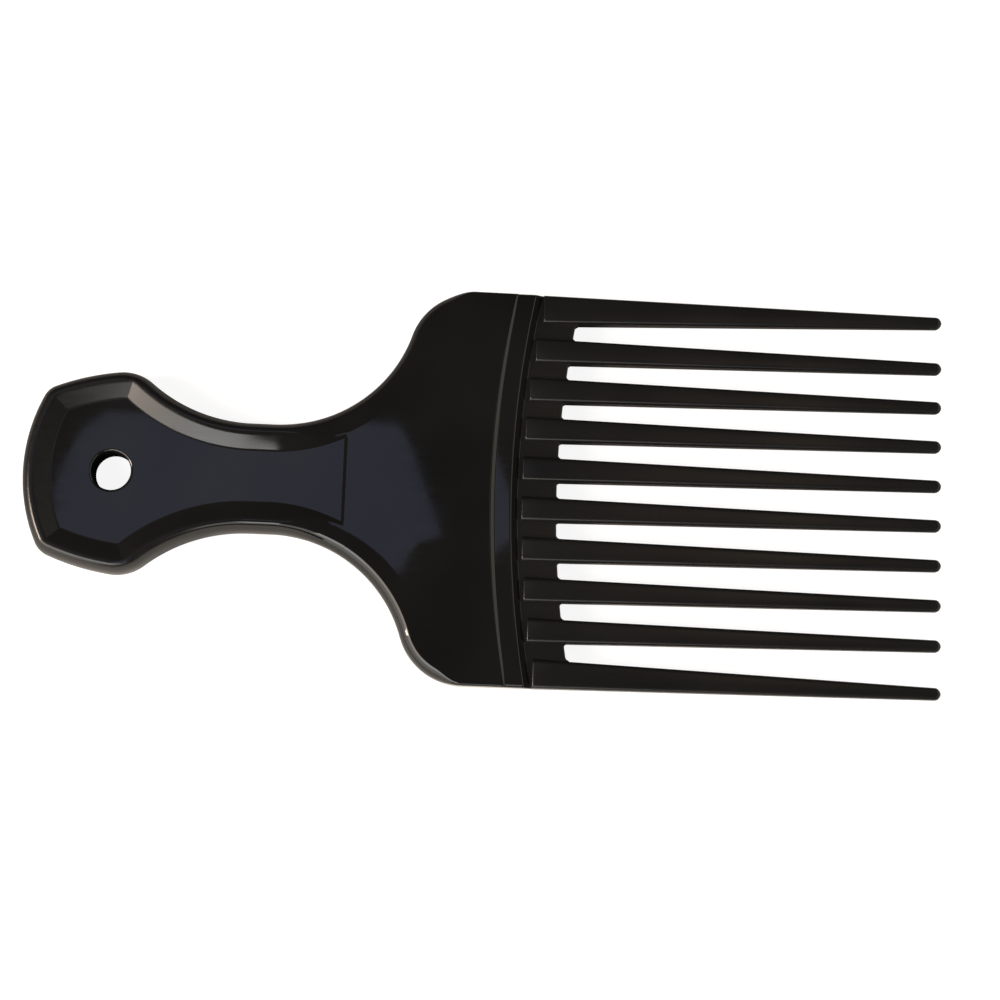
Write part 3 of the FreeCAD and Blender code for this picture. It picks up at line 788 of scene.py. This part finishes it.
def bar_section(length):
    """The bar's upper half from under the lip to its front, as (forward, height) pairs."""
    level = Vector((1, 0))
    shelf, toe = Vector((BAND_WIDTH, BAND_HEIGHT)), Vector((BAND_WIDTH + SLOPE_LENGTH, WEB_HEIGHT))
    start = shelf - Vector((1, BAND_TILT_SHARE)) * (UNDER_LIP + BAND_WIDTH)
    nose, down = Vector((length, WEB_HEIGHT)), Vector((0, -1))
    slope = (toe - shelf).normalized()
    before = shelf.lerp(start, BAND_EASE / BAND_WIDTH)
    points = [start.lerp(before, share) for share in BAND_SHARES]
    points += bend(shelf, before, shelf + slope * BAND_EASE)
    points += bend(toe, toe - slope * TOE_EASE, toe + level * TOE_EASE)
    return points + bend(nose, nose - level * FRONT_EASE, nose + down * FRONT_EASE)


def root_flare(across):
    """How far the web's front line runs on beside a tooth, in a small round."""
    gaps = [abs(across - t.root_middle) - t.root_width / 2 for t in teeth]
    short = max(ROOT_RADIUS - max(min(gaps), 0), 0)
    return ROOT_RADIUS - math.sqrt(ROOT_RADIUS**2 - short**2)


def bar_columns():
    """Places across the bar: round ends, and close steps in each slot."""
    turns = [QUARTER_TURN * step / END_STEPS for step in range(END_STEPS, -1, -1)]
    ends = [HEAD_EDGE - BAR_EDGE_RADIUS * (1 - math.cos(turn)) for turn in turns]
    columns = [-end for end in reversed(ends)]
    for before, after in zip(teeth, teeth[1:]):
        low = before.root_middle + before.root_width / 2 - TUCK
        high = after.root_middle - after.root_width / 2 + TUCK
        columns += [low + (high - low) * step / SLOT_STEPS for step in range(SLOT_STEPS + 1)]
    return columns + ends


print("columns across the bar:", len(bar_columns()))

# %% Build the tooth bar
INSIDE_TOOTH_FROM = BAND_WIDTH + RIB_FROM_BAND + BAR_EDGE_RADIUS
DULL, POLISHED = range(2)


def bar_loop(across):
    """The bar's section at a place across it: along the top to the front, and back along the underside."""
    from_end = min(HEAD_EDGE - abs(across), BAR_EDGE_RADIUS)
    drop = BAR_EDGE_RADIUS - math.sqrt(BAR_EDGE_RADIUS**2 - (BAR_EDGE_RADIUS - from_end) ** 2)
    left_share = 1 - BAR_END_SHARE * drop / BAR_EDGE_RADIUS
    half = []
    for forward, height in bar_section(BAR_LENGTH + root_flare(across)):
        is_inside = forward < 0 or forward > INSIDE_TOOTH_FROM
        kept = math.copysign(min(abs(across), HEAD_EDGE - TUCK), across) if is_inside else across
        half.append((arc_at(kept, forward), kept, height * left_share))
    underside = [(along, kept, -height) for along, kept, height in reversed(half)]
    return [place(*point) for point in half + underside]


bar_mesh = bmesh.new()
bar_rows = [add_row(bar_mesh, bar_loop(across)) for across in bar_columns()]
skin(bar_mesh, bar_rows, closed=True)
for loop in (bar_rows[0], bar_rows[-1]):
    skin(bar_mesh, [loop[: len(loop) // 2], loop[::-1][: len(loop) // 2]])
close_piece(bar_mesh)
arc_centre = place(ARC_CENTRE_AT, 0, 0).xy
for face in bar_mesh.faces:
    forward = ARC_RADIUS - (face.calc_center_median().xy - arc_centre).length / MM
    face.material_index = POLISHED if forward < BAND_WIDTH + SLOPE_LENGTH + BAND_EASE else DULL
seat_mesh("tooth_bar", bar_mesh, tooth_plastic, grip_plastic)

# %% [markdown]
# ## The teeth
# The ten teeth follow one rule: a rib with round edges that starts at the bar, tapers in width and in
# thickness, and ends in a round tip. Only a few sizes differ from tooth to tooth. So the rule is written
# once, as a Geometry Nodes tree that bends a flat grid into a tooth, and each tooth gives the tree its
# own sizes. A small class lets the script write node sums as plain formulas.

# %% Formulas for nodes
class Wire:
    """A value in a node tree that can be used in a formula."""

    def __init__(self, tree, socket):
        self.tree = tree
        self.socket = socket

    def math(self, operation, *others):
        """A Math node fed by this value and others."""
        node = self.tree.nodes.new("ShaderNodeMath")
        node.operation = operation
        for slot, item in zip(node.inputs, (self, *others)):
            if isinstance(item, Wire):
                self.tree.links.new(item.socket, slot)
            else:
                slot.default_value = item
        return Wire(self.tree, node.outputs[0])

    def __add__(self, other):
        return self.math("ADD", other)

    def __sub__(self, other):
        return self.math("SUBTRACT", other)

    def __mul__(self, other):
        return self.math("MULTIPLY", other)

    def __truediv__(self, other):
        return self.math("DIVIDE", other)

    def toward(self, other, share):
        """The value a share of the way from this one to another."""
        return self + (other - self) * share

    def clamp(self):
        """The value, kept between 0 and 1."""
        return self.math("MAXIMUM", 0.0).math("MINIMUM", 1.0)


print("a formula's parts:", [name for name in vars(Wire) if not name.startswith("_")])

# %% The tooth's tree
TOOTH_SIZES = ("Start", "Tip", "Root Middle", "Root Width", "Tip Middle", "Tip Width")
TOOTH_SIZES += ("Root Height", "Tip Height", "Edge Radius", "Cap Radius", "Mid-plane")
CAP_STATIONS, TAPER_STATIONS, TIP_STATIONS = 8, 24, 12
STATIONS = CAP_STATIONS + TAPER_STATIONS + TIP_STATIONS
CORNERS, CORNER_POINTS = 4, 9
AROUND = CORNERS * CORNER_POINTS
HALF_GRID = 0.5


def start_tree():
    """A tree with one named input for each size of a tooth."""
    tree = bpy.data.node_groups.new("tapered_tooth", "GeometryNodeTree")
    for name in TOOTH_SIZES:
        tree.interface.new_socket(name, in_out="INPUT", socket_type="NodeSocketFloat")
    tree.interface.new_socket("Plastic", in_out="INPUT", socket_type="NodeSocketMaterial")
    tree.interface.new_socket("Tooth", in_out="OUTPUT", socket_type="NodeSocketGeometry")
    return tree


def grid_counts(tree):
    """A grid, and the number of each of its points along the tooth and around it."""
    grid = tree.nodes.new("GeometryNodeMeshGrid")
    grid.inputs["Vertices X"].default_value = STATIONS + 1
    grid.inputs["Vertices Y"].default_value = AROUND + 1
    split = tree.nodes.new("ShaderNodeSeparateXYZ")
    tree.links.new(tree.nodes.new("GeometryNodeInputPosition").outputs[0], split.inputs[0])
    along = (Wire(tree, split.outputs["X"]) + HALF_GRID) * STATIONS
    around = (Wire(tree, split.outputs["Y"]) + HALF_GRID) * AROUND
    return grid, along.math("ROUND"), around.math("ROUND").math("MODULO", AROUND)


tooth_tree = start_tree()
tooth_grid, station, point_number = grid_counts(tooth_tree)
tooth_input = tooth_tree.nodes.new("NodeGroupInput")
size = {name: Wire(tooth_tree, tooth_input.outputs[name]) for name in TOOTH_SIZES}
print("inputs of a tooth:", ", ".join(TOOTH_SIZES))

# %% Along the tooth
HALF = 0.5

taper_share = ((station - CAP_STATIONS) / TAPER_STATIONS).clamp()
tip_angle = ((station - CAP_STATIONS - TAPER_STATIONS) / TIP_STATIONS).clamp() * QUARTER_TURN
tip_radius = size["Tip Width"] * HALF
tip_centre = size["Tip"] - tip_radius
cap_angle = ((station - 1) / (CAP_STATIONS - 1)).clamp() * QUARTER_TURN
taper_start = size["Start"] + size["Cap Radius"]
cap_back = size["Cap Radius"] * cap_angle.math("COSINE")
tip_run = tip_radius * tip_angle.math("SINE")
tooth_along = taper_start.toward(tip_centre, taper_share) - cap_back + tip_run
length_share = (tooth_along - size["Start"]) / (size["Tip"] - size["Start"])
print("stations along a tooth:", STATIONS)

# %% Width and height at a station
is_open = station.math("GREATER_THAN", 0.0)
middle = size["Root Middle"].toward(size["Tip Middle"], length_share)
half_root = size["Root Width"] * HALF
half_width = half_root.toward(tip_radius, length_share.math("MINIMUM", 1.0))
half_width = half_width * tip_angle.math("COSINE") * is_open
full_height = size["Root Height"].toward(size["Tip Height"], length_share)
full_radius = size["Edge Radius"]
tip_short = full_radius - (size["Tip"] - tooth_along).math("MINIMUM", full_radius)
tip_rise = (full_radius * full_radius - tip_short * tip_short).math("MAXIMUM", 0.0).math("SQRT")
cap_fall = size["Cap Radius"] * (cap_angle.math("SINE") - 1.0)
half_height = (full_height - full_radius + tip_rise + cap_fall) * is_open
edge_radius = full_radius.math("MINIMUM", half_width).math("MINIMUM", half_height)
print("nodes so far:", len(tooth_tree.nodes))

# %% Around the tooth, and the tree's end
quadrant = (point_number / CORNER_POINTS).math("FLOOR")
in_corner = point_number - quadrant * CORNER_POINTS
angle = (quadrant + in_corner / (CORNER_POINTS - 1)) * QUARTER_TURN
mid_angle = quadrant * QUARTER_TURN + QUARTER_TURN / 2
side_sign = mid_angle.math("COSINE").math("SIGN")
face_sign = mid_angle.math("SINE").math("SIGN")
tooth_across = middle + side_sign * (half_width - edge_radius) + edge_radius * angle.math("COSINE")
tooth_height = face_sign * (half_height - edge_radius) + edge_radius * angle.math("SINE")
tooth_height = tooth_height + size["Mid-plane"]


def end_tree(tree, grid, along, across, height):
    """Move the grid's points, merge its seam, and give the tooth its plastic."""
    join = tree.nodes.new("ShaderNodeCombineXYZ")
    for socket, wire in zip(join.inputs, (along, across, height)):
        tree.links.new(wire.socket, socket)
    chain = [grid.outputs["Mesh"]]
    for kind in ("SetPosition", "MergeByDistance", "SetShadeSmooth", "RealizeInstances", "SetMaterial"):
        node = tree.nodes.new(f"GeometryNode{kind}")
        tree.links.new(chain[-1], node.inputs["Geometry"])
        chain.append(node.outputs["Geometry"])
        if kind == "SetPosition":
            tree.links.new(join.outputs[0], node.inputs["Position"])
        if kind == "MergeByDistance":
            node.inputs["Distance"].default_value = MERGE_DISTANCE
        if kind == "SetMaterial":
            tree.links.new(tooth_input.outputs["Plastic"], node.inputs["Material"])
    output = tree.nodes.new("NodeGroupOutput")
    tree.links.new(chain[-1], output.inputs["Tooth"])


end_tree(tooth_tree, tooth_grid, tooth_along, tooth_across, tooth_height)
print("nodes in the tooth's tree:", len(tooth_tree.nodes))

# %% Grow the ten teeth
ROOT_THICKNESS = 4.2
TIP_THICKNESS = 2.0
TOOTH_EDGE_RADIUS = 0.75
CAP_RADIUS = 0.25


def tooth_values(shape):
    """The tree's inputs for one tooth, in metres of the frame."""
    start, tip = place(shape.start, 0, 0).x, place(TIP_AT, 0, 0).x
    lengths = (shape.root_middle, shape.root_width, shape.tip_middle, TIP_WIDTH)
    heights = (ROOT_THICKNESS / 2, TIP_THICKNESS / 2, TOOTH_EDGE_RADIUS, CAP_RADIUS)
    values = (start, tip, *[MM * length for length in lengths + heights], MIDDLE_HEIGHT)
    return dict(zip(TOOTH_SIZES, values))


def grow_tooth(shape):
    """Run the tree for one tooth and keep its result as a plain mesh."""
    carrier = bpy.data.objects.new("tooth_carrier", bpy.data.meshes.new("tooth_carrier"))
    scene.collection.objects.link(carrier)
    modifier = carrier.modifiers.new("tooth", "NODES")
    modifier.node_group = tooth_tree
    sockets = {item.name: item.identifier for item in tooth_tree.interface.items_tree}
    for name, value in tooth_values(shape).items():
        modifier[sockets[name]] = value
    modifier[sockets["Plastic"]] = tooth_plastic
    depsgraph = bpy.context.evaluated_depsgraph_get()
    data = bpy.data.meshes.new_from_object(carrier.evaluated_get(depsgraph))
    data.name = f"{shape.name}_skin"
    bpy.data.objects.remove(carrier)
    return data


for shape in teeth:
    tooth_data = grow_tooth(shape)
    tooth_mesh = bmesh.new()
    tooth_mesh.from_mesh(tooth_data)
    bmesh.ops.recalc_face_normals(tooth_mesh, faces=tooth_mesh.faces)
    tooth_mesh.to_mesh(tooth_data)
    tooth_mesh.free()
    seat_piece(shape.name, tooth_data)

# %% [markdown]
# ## The table
# The pick lies on a plain white table. A table that is only lit never comes out as white as the paper of
# a catalogue, so its material adds a glow, and only where the camera or a reflection looks at it. The
# glow isn't light on the object. Reflections see little glow but a whiter matt surface, because a mirror
# image of the table should be dark where the pick shades it. That whiteness and glow are painted light
# and shade across the table: bright on the side towards the camera, dark on the far side. The camera
# sees the soft shadow too.

# %% A white table
TABLE_RADIUS = 8.0
TABLE_GAP = 0.05 * MM
TABLE_WHITE = (0.24, 0.24, 0.24, 1)
TABLE_GLOW = 0.9
# What reflections see of the table: a whiter colour and a little glow, both painted brighter towards the
# camera and darker on the far side between the two spans below, as painted light and shade.
PAINTED_MIRROR_WHITE = (0.8, 0.79, 0.77, 1)
MIRROR_GLOW = 0.08
PAINTED_BRIGHT_TO, PAINTED_DIM_FROM = -35 * MM, -5 * MM
PAINTED_SHADE_SHARE = 0.05


def table_material():
    """Matt white with a glow for what looks at it, and painted light and shade across it in reflections.
    """
    material, tree = new_material("table_white")
    nodes, links = tree.nodes, tree.links
    nodes.clear()
    path = nodes.new("ShaderNodeLightPath")
    rays = ("Is Camera Ray", "Is Glossy Ray", "Is Transmission Ray")
    seen, glossy, clear = [Wire(tree, path.outputs[ray]) for ray in rays]
    across = add_axis(tree, nodes.new("ShaderNodeTexCoord").outputs["Object"], "Y")
    # Painted light and shade: reflections see the table whiter and glowing on the side towards the camera
    # and darker on the far side.
    painted_light = add_range(tree, across, (PAINTED_BRIGHT_TO, PAINTED_DIM_FROM), (1.0, PAINTED_SHADE_SHARE))
    painted_mirror_share = glossy.math("MAXIMUM", clear) * Wire(tree, painted_light)
    glow = nodes.new("ShaderNodeEmission")
    links.new((seen * TABLE_GLOW + painted_mirror_share * MIRROR_GLOW).socket, glow.inputs["Strength"])
    matt = nodes.new("ShaderNodeBsdfDiffuse")
    white = add_mix(tree, painted_mirror_share.socket, TABLE_WHITE, PAINTED_MIRROR_WHITE)
    links.new(white, matt.inputs["Color"])
    both = nodes.new("ShaderNodeAddShader")
    links.new(matt.outputs[0], both.inputs[0])
    links.new(glow.outputs[0], both.inputs[1])
    output = nodes.new("ShaderNodeOutputMaterial")
    links.new(both.outputs[0], output.inputs["Surface"])
    return material


def stage_sheet(name, points, faces, material):
    """A sheet of the stage, which isn't part of the pick."""
    data = bpy.data.meshes.new(name)
    data.from_pydata(points, [], faces)
    data.materials.append(material)
    sheet = bpy.data.objects.new(name, data)
    scene.collection.objects.link(sheet)
    return sheet


def flat_sheet(name, points, material):
    """A sheet of one flat face through given points."""
    return stage_sheet(name, points, [list(range(len(points)))], material)


corners = [(-1, -1), (1, -1), (1, 1), (-1, 1)]
table_level = cad_low.z - TABLE_GAP
table_points = [(x * TABLE_RADIUS, y * TABLE_RADIUS, table_level) for x, y in corners]
flat_sheet("table", table_points, table_material())
print(f"table {TABLE_GAP / MM:.2f} mm under the rim")

# %% [markdown]
# ## The light
# Black gloss is mostly a picture of the room. In the photo the panel and the neck mirror a pale bluish
# patch overhead, the teeth mirror a brownish one, and soft light from the handle's lower left draws the
# bright lines on the walls and edges; the rest of the room is dim. So there are two cards above, and soft
# lights of several strengths on a ring round the pick, under a dim sky that is pale only near the
# horizon. The lights are glowing sheets, because a reflection shows a light's shape as well as its
# strength.

# %% A dim room with a pale horizon
ROOM_DIM = (0.062, 0.06, 0.055, 1)
HORIZON_PALE = (0.24, 0.24, 0.25, 1)
HORIZON_SHARE, DIM_SHARE = 0.02, 0.16

world = bpy.data.worlds.new("room")
scene.world = world
world.use_nodes = True
room_nodes, room_links = world.node_tree.nodes, world.node_tree.links
direction = room_nodes.new("ShaderNodeTexCoord").outputs["Generated"]
upward = add_axis(world.node_tree, direction, "Z")
shade = room_nodes.new("ShaderNodeValToRGB")
shade.color_ramp.elements[0].position = HORIZON_SHARE
shade.color_ramp.elements[0].color = HORIZON_PALE
shade.color_ramp.elements[1].position = DIM_SHARE
shade.color_ramp.elements[1].color = ROOM_DIM
room_links.new(upward, shade.inputs["Fac"])
room_links.new(shade.outputs["Color"], room_nodes["Background"].inputs["Color"])
print("the room fades from the horizon to", DIM_SHARE, "up")

# %% The cards overhead
CARD_HEIGHT = 550.0
CARD_GLOW = (0.455, 0.505, 0.72)
CARD_POINTS = [(-158, 113), (3, 113), (11, 99), (18, 80), (25, 62), (15, 59), (10, 53), (7, 44), (-90, 36)]
CARD_POINTS += [(-125, 20), (-165, 18), (-177, 50), (-180, 75), (-173, 95), (-169, 104)]
BROWN_GLOW = (1.0, 0.74, 0.55)
BROWN_POINTS = [(140, 40), (190, 40), (190, 140), (140, 140)]


def glow_material(name, glow):
    """An even glow of a given red, green and blue."""
    material, tree = new_material(name)
    shader = tree.nodes.new("ShaderNodeEmission")
    strength = max(glow)
    shader.inputs["Color"].default_value = [part / strength for part in glow] + [1]
    shader.inputs["Strength"].default_value = strength
    tree.links.new(shader.outputs[0], tree.nodes["Material Output"].inputs["Surface"])
    return material


def hide_from_camera(sheet):
    """Keep a light's sheet out of the picture, but not out of reflections."""
    sheet.visible_camera = False
    sheet.visible_shadow = False


CARDS = {"pale_card": (CARD_POINTS, CARD_GLOW), "brown_card": (BROWN_POINTS, BROWN_GLOW)}
for card_name, (card_points, card_glow) in CARDS.items():
    card_corners = [(x * MM, y * MM, CARD_HEIGHT * MM) for x, y in card_points]
    hide_from_camera(flat_sheet(card_name, card_corners, glow_material(card_name, card_glow)))
    print(card_name, "corners:", len(card_points))

# %% Soft lights on a ring
LIGHT_DISTANCE = 1.5
TURN_STEP = 6.0
LAMP_NEARER = 0.12
SOFT_LIGHTS = {
    "white_light": ((7.5, 46), (36, 56.7), (5.4, 5.4, 5.3)),
    "warm_light": ((46, 90), (36, 56.7), (5.4, 4.8, 4.2)),
    "mid_light": ((7.5, 90), (22, 36), (2.6, 2.5, 2.3)),
    "low_light": ((22, 90), (4, 22), (2.2, 2.1, 1.9)),
    "edge_light": ((-12, 7.5), (20, 48), (2.0, 2.0, 1.9)),
    "lamp": ((74.5, 88), (28, 48), (34.0, 27.0, 22.0)),
    "far_light": ((-140, -40), (15, 52), (1.0, 1.0, 0.86)),
}


def ring_point(turn, rise, distance):
    """A point on the ring: degrees round from the pick's lower side towards its handle, and degrees up."""
    turn, rise = math.radians(turn), math.radians(rise)
    level = math.cos(rise) * distance
    return Vector((-math.sin(turn) * level, -math.cos(turn) * level, math.sin(rise) * distance))


def ring_light(name, turns, rises, glow, distance):
    """A curved sheet of light between two turns and two rises."""
    steps = math.ceil((turns[1] - turns[0]) / TURN_STEP)
    angles = [turns[0] + (turns[1] - turns[0]) * step / steps for step in range(steps + 1)]
    points = [ring_point(angle, rise, distance) for angle in angles for rise in rises]
    quads = [(2 * step, 2 * step + 2, 2 * step + 3, 2 * step + 1) for step in range(steps)]
    hide_from_camera(stage_sheet(name, points, quads, glow_material(name, glow)))


# The lamp stands in front of the other sheets, which would hide it.
for light_name, (turns, rises, glow) in SOFT_LIGHTS.items():
    nearer = LAMP_NEARER if light_name == "lamp" else 0
    ring_light(light_name, turns, rises, glow, LIGHT_DISTANCE - nearer)
print("soft lights:", ", ".join(SOFT_LIGHTS))

# %% [markdown]
# ## The camera
# The photo was taken from above and a little from the pick's lower side, from so near that the handle's
# end is seen at a slant. Its place, its turn and its lens were found by fitting the outline, and they are
# written here as plain numbers. The photo is square, so the sensor is too.

# %% Camera at the photo's view
CAMERA_PLACE = Vector((-11.41, -57.17, 370.02)) * MM
CAMERA_TURN = (8.481, -2.494, 1.987)
LENS = 71.93
SENSOR = 36.0
NEAREST_SEEN = 0.01

lens = bpy.data.cameras.new("camera")
lens.lens = LENS
lens.sensor_width = SENSOR
lens.clip_start = NEAREST_SEEN
camera = bpy.data.objects.new("camera", lens)
camera.location = CAMERA_PLACE
camera.rotation_euler = [math.radians(turn) for turn in CAMERA_TURN]
scene.collection.objects.link(camera)
scene.camera = camera
scene.view_settings.view_transform = "Standard"
print("camera height in mm:", round(camera.location.z / MM, 1))

# %% [markdown]
# ## Finish
# The looks must not change the pick's size. The last line brings the scene up to date.

# %% Finish
bpy.context.view_layer.update()
